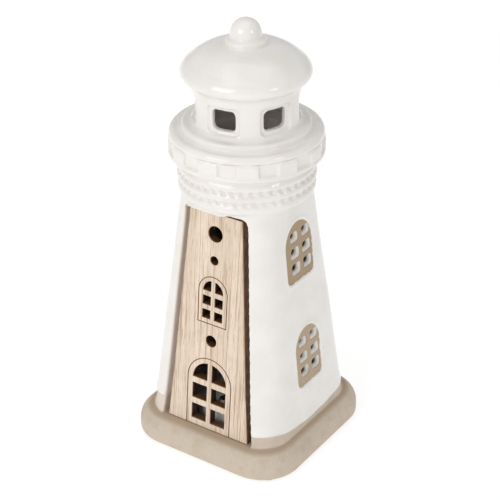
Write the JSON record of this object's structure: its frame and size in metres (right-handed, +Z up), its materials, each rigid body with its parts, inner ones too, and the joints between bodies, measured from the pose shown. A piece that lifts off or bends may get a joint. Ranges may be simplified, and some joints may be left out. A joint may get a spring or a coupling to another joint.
{
  "type": "souvenir figurine",
  "caption": "Hollow ceramic lighthouse ornament with a cut plywood front, pierced windows and a pull-out battery light unit in its base.",
  "frame": {"origin": "centre of the square base, on the plane that the felt pads rest on", "axes": "+Z up along the tower's axis; the plywood front faces -Y; the pierced side walls face +X and -X"},
  "size_m": [0.06, 0.06, 0.144],
  "materials": {
    "glazed_body": "white gloss glaze, bare beige clay on the plinth and round the side windows",
    "plywood": "bare pale wood, laser-burnt brown edges",
    "glue": "cured clear hot glue",
    "felt": "pale felt",
    "white_plastic": "fine satin moulding",
    "silicone": "matt translucent grey",
    "screw_steel": "zinc plated",
    "circuit_board": "green solder resist",
    "led_resin": "clear warm resin",
    "tinned_wire": "tinned",
    "resistor_lacquer": "beige lacquer",
    "chip_resin": "black moulding",
    "switch_can": "tinned sheet",
    "black_plastic": "satin black",
    "cell_steel": "stainless",
    "contact_metal": "nickel plated spring strip"
  },
  "bodies": {
    "figurine": {"ceramic_body": "glazed_body", "front_panel": "plywood", "panel_glue": "glue", "foot_pads": "felt"},
    "light_unit": {"unit_housing": "white_plastic", "unit_seal_ring": "silicone", "unit_cover": "white_plastic", "cover_screws": "screw_steel", "led_board": "circuit_board", "led_lamp": "led_resin", "led_leads": "tinned_wire", "resistor": "resistor_lacquer", "timer_chip": "chip_resin", "switch_body": "switch_can", "switch_terminals": "tinned_wire", "positive_contact": "contact_metal", "negative_contact": "contact_metal"},
    "battery_door": {"battery_door": "white_plastic"},
    "door_screw": {"door_screw": "screw_steel"},
    "coin_cell": {"coin_cell": "cell_steel"},
    "switch_slider": {"switch_slider": "black_plastic"}
  },
  "joints": [
    {"name": "light_unit_pull", "type": "slide", "parent": "figurine", "child": "light_unit", "axis": [0, 0, -1], "range_m": [0, 0.03]},
    {"name": "battery_door_lift", "type": "slide", "parent": "light_unit", "child": "battery_door", "axis": [0, 0, -1], "range_m": [0, 0.014]},
    {"name": "door_screw_turn", "type": "hinge", "parent": "battery_door", "child": "door_screw", "pos_m": [0.0066, 0.0106, 0.0025], "axis": [0, 0, 1], "continuous": true},
    {"name": "coin_cell_drop", "type": "slide", "parent": "light_unit", "child": "coin_cell", "axis": [0, 0, -1], "range_m": [0, 0.007]},
    {"name": "switch_slide", "type": "slide", "parent": "light_unit", "child": "switch_slider", "axis": [0, 1, 0], "range_m": [0, 0.0025]}
  ],
  "couplings": [
    {"joint": "coin_cell_drop", "follows": "battery_door_lift", "ratio": 0.5}
  ]
}
